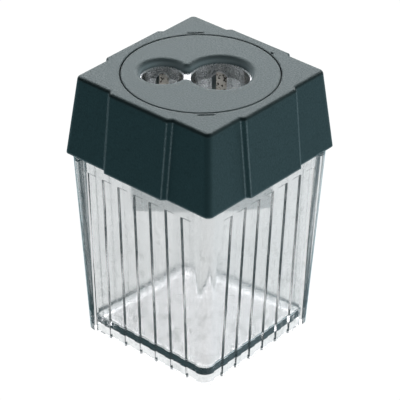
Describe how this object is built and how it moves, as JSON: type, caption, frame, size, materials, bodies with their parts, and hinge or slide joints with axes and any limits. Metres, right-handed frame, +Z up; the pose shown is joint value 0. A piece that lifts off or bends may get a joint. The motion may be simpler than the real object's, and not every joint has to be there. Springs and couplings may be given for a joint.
{
  "type": "pencil sharpener",
  "caption": "Desk pencil sharpener for standard and jumbo pencils, a metal block in a square black cap over a clear fluted container that catches the shavings.",
  "frame": {"origin": "middle of the container's underside, on the surface it stands on", "axes": "+Z up through the cap; X and Y square to the container's sides, with the nearer corner of the usual view at +X -Y"},
  "size_m": [0.0408, 0.0408, 0.0603],
  "materials": {
    "clear_polystyrene": "clear, polished",
    "black_abs": "fine spark-eroded texture",
    "magnesium": "die cast, satin",
    "blade_steel": "ground",
    "screw_steel": "bright zinc"
  },
  "bodies": {
    "container": {"shavings_container": "clear_polystyrene"},
    "cap": {"cap_shell": "black_abs", "sharpener_carrier": "black_abs", "sharpener_body": "magnesium", "standard_blade": "blade_steel", "jumbo_blade": "blade_steel", "blade_screws": "screw_steel"}
  },
  "joints": [
    {"name": "cap_lift", "type": "slide", "parent": "container", "child": "cap", "axis": [0, 0, 1], "range_m": [0, 0.04]}
  ]
}
